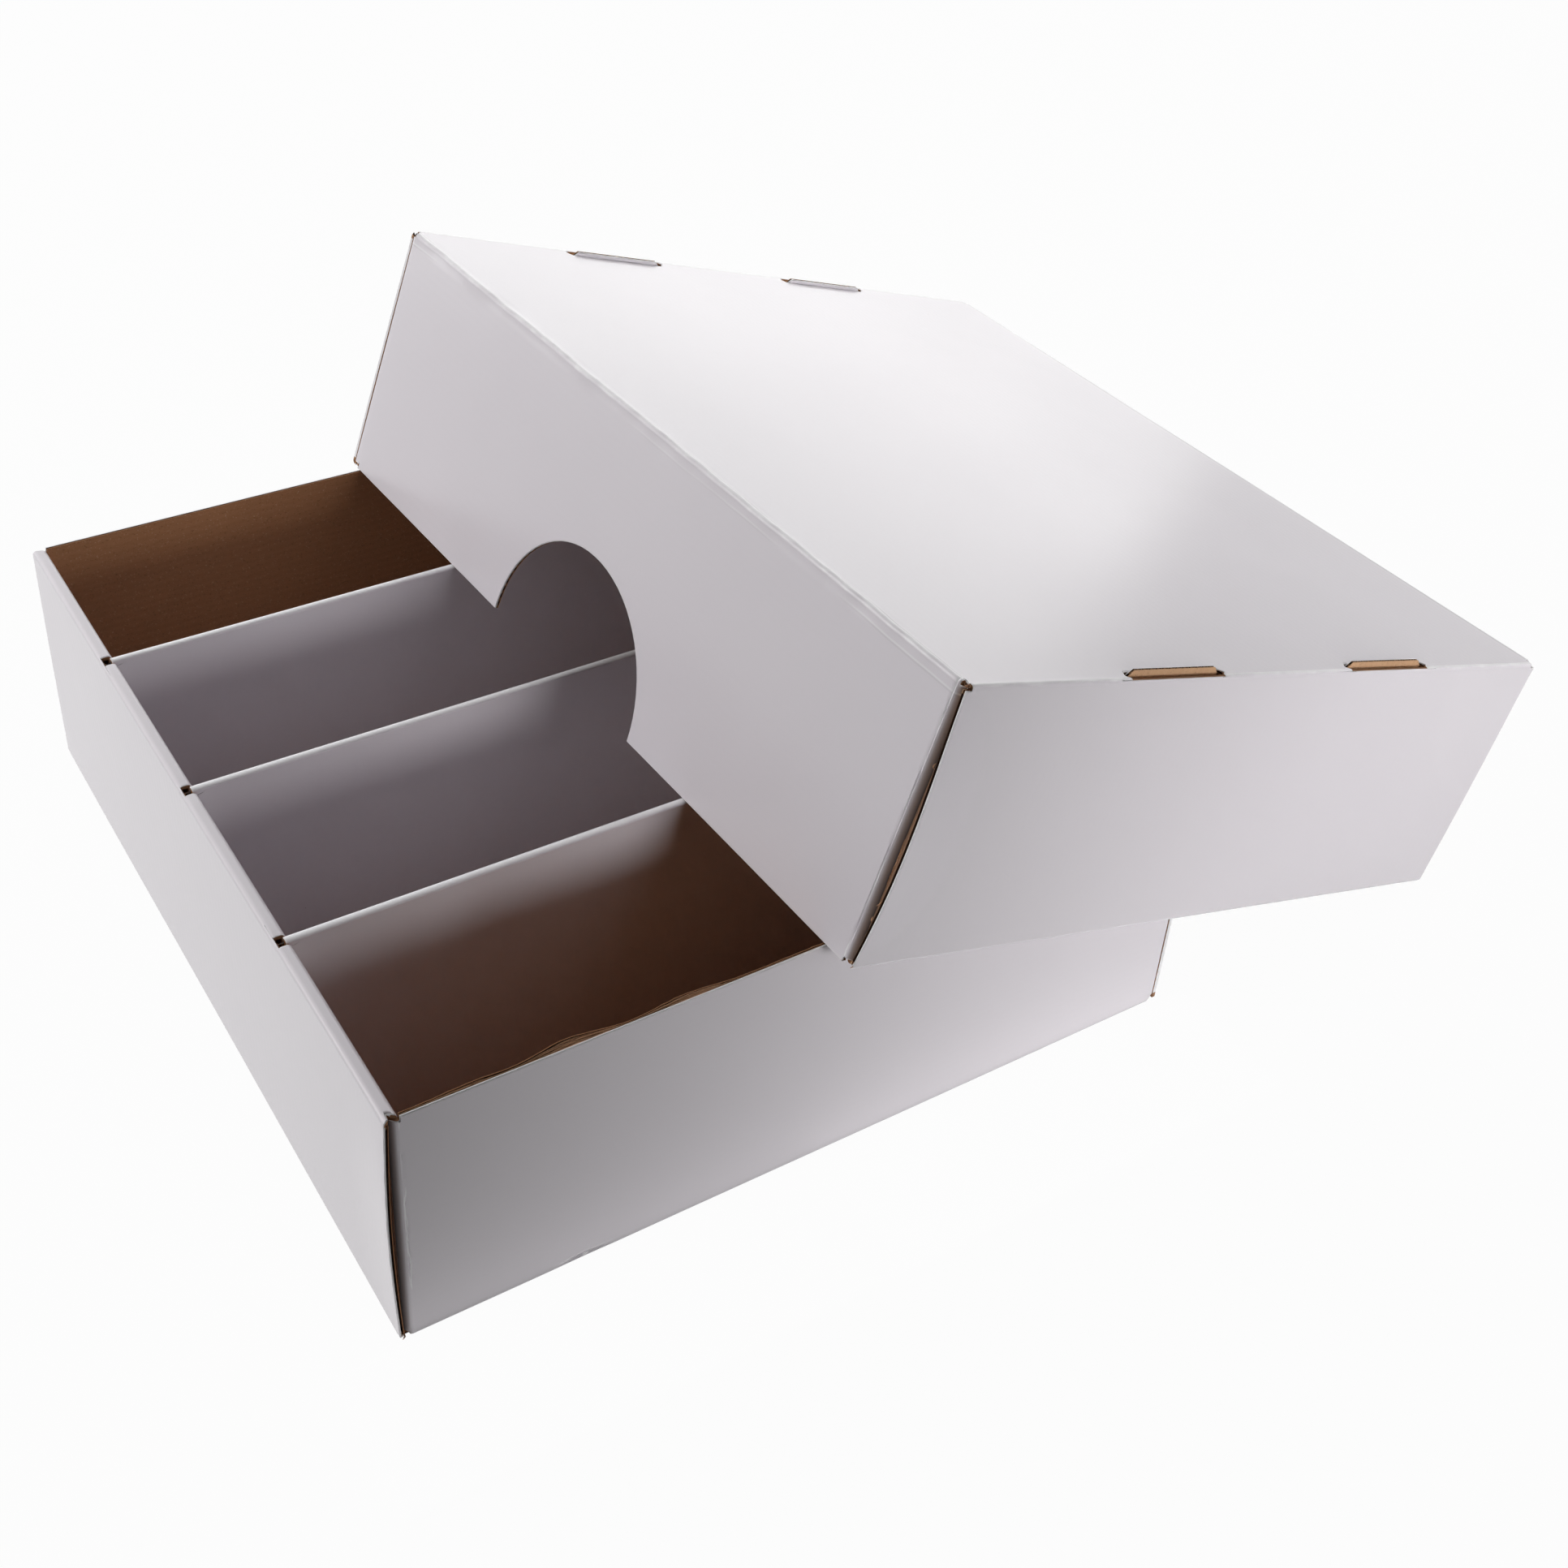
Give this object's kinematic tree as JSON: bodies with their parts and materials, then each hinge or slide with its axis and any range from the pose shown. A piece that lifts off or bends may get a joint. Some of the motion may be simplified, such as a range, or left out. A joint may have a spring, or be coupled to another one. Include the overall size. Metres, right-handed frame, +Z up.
{
  "type": "trading card storage box",
  "caption": "Open corrugated card box with rolled end walls and folded dividers that make long rows, with its deep lift-off lid leaning on the rim.",
  "frame": {"origin": "middle of the base tray's underside, on the surface that the box stands on", "axes": "+X along the card rows towards the lowered end of the lid, +Y across the rows to the rear wall, +Z up"},
  "size_m": [0.4614, 0.3534, 0.1901],
  "materials": {
    "base_board": "glossy clay-coated white outside, brown kraft inside and at cut edges",
    "divider_board": "glossy clay-coated white outside, brown kraft inside and at cut edges",
    "lid_board": "glossy clay-coated white outside, brown kraft inside and at cut edges"
  },
  "bodies": {
    "root": {"base_tray": "base_board", "divider_rear": "divider_board", "divider_middle": "divider_board", "divider_front": "divider_board", "lid": "lid_board"}
  },
  "joints": []
}
